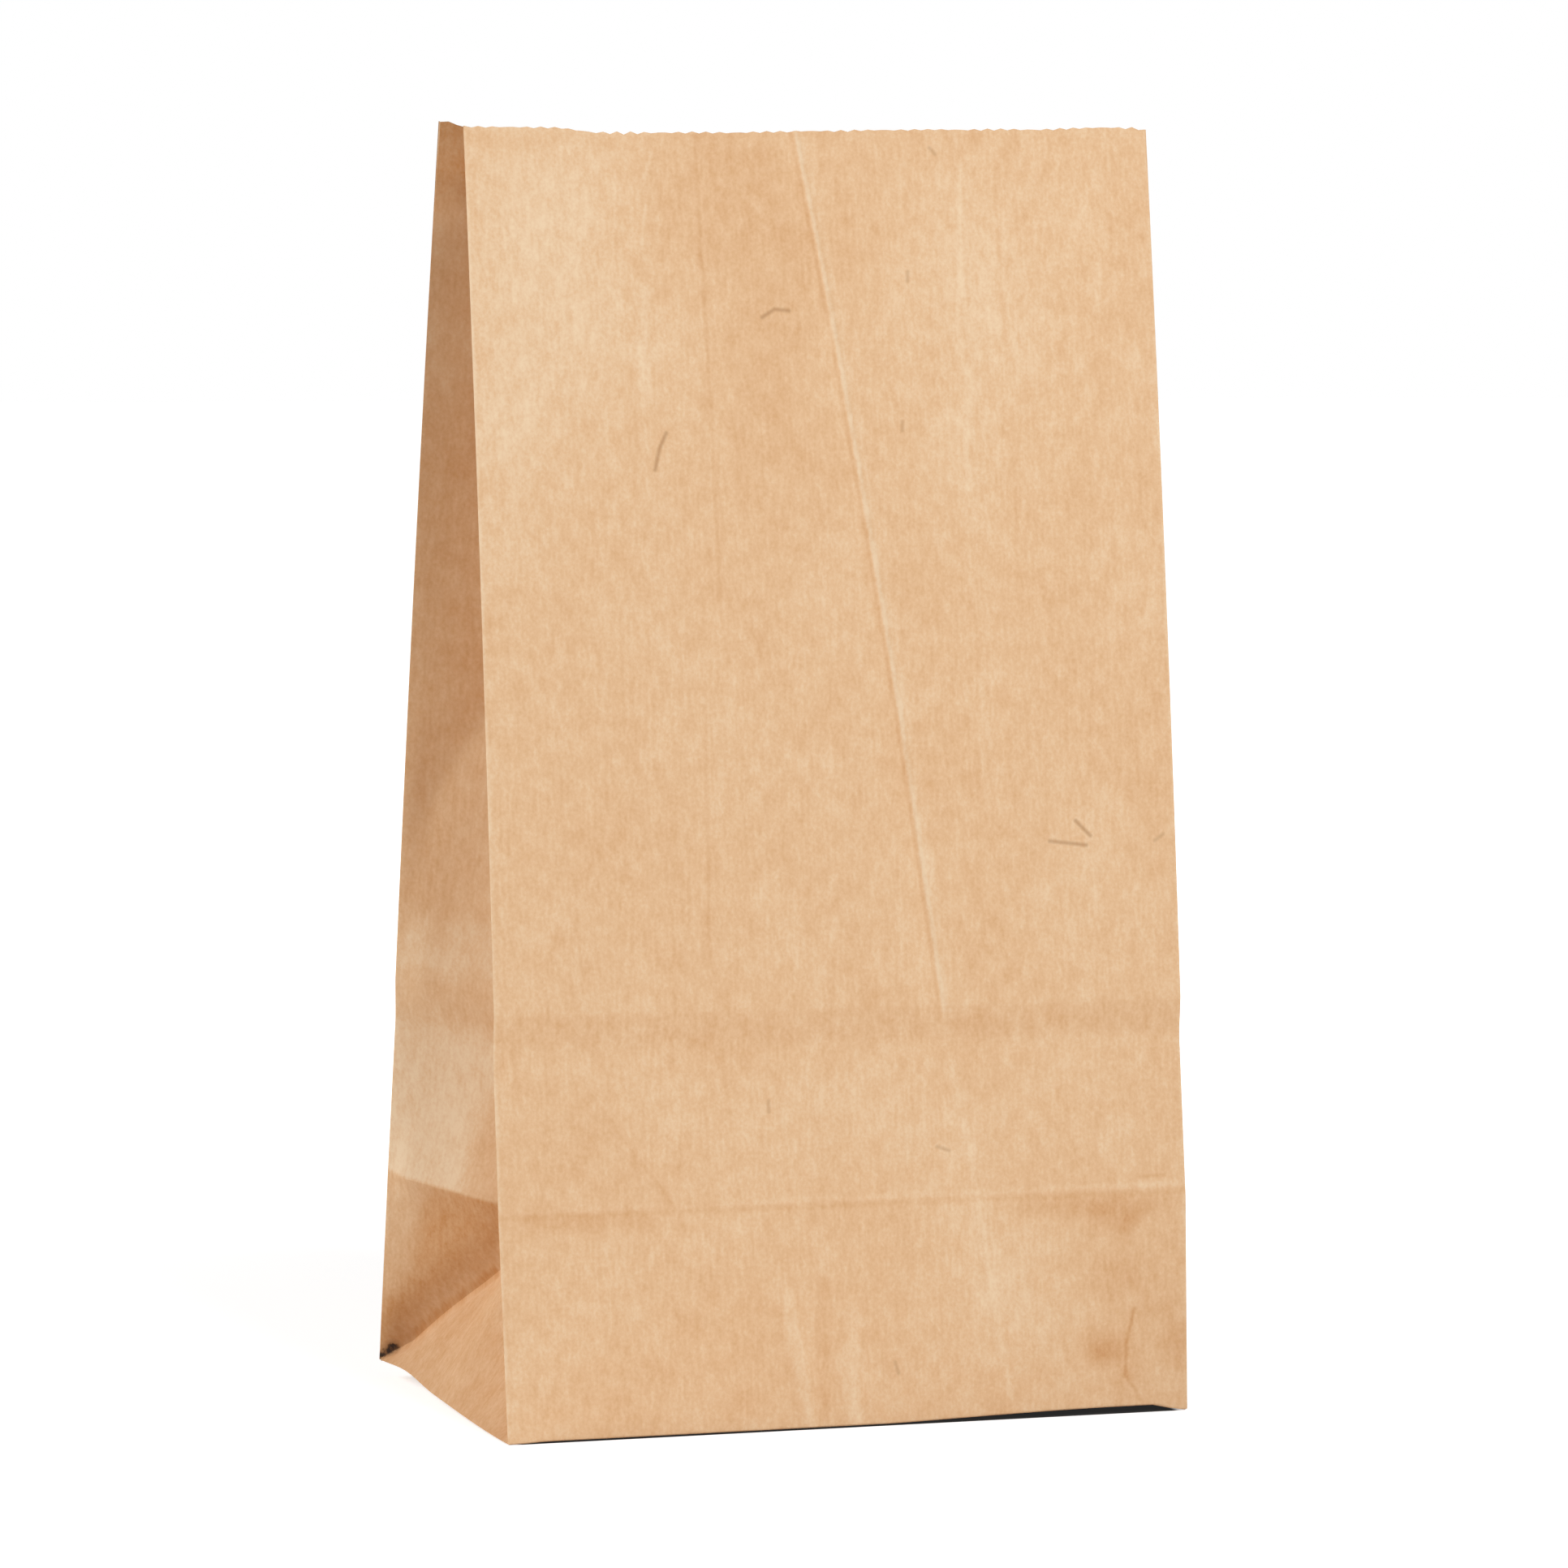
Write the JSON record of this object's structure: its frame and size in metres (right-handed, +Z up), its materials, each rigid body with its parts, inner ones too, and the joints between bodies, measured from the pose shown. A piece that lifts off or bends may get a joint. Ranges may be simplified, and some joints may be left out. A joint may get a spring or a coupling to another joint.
{
  "type": "paper grocery bag",
  "caption": "Flat-bottomed kraft paper bag with gusseted sides, folded and pasted from one sheet, standing open with a saw-toothed rim.",
  "frame": {"origin": "middle of the base, at the level of the surface it stands on", "axes": "+X across the front panel to its right, -Y out of the front panel, +Z up to the open rim"},
  "size_m": [0.1524, 0.0915, 0.2728],
  "materials": {
    "kraft_paper": "uncoated, faintly ribbed"
  },
  "bodies": {
    "root": {"paper_bag": "kraft_paper"}
  },
  "joints": []
}
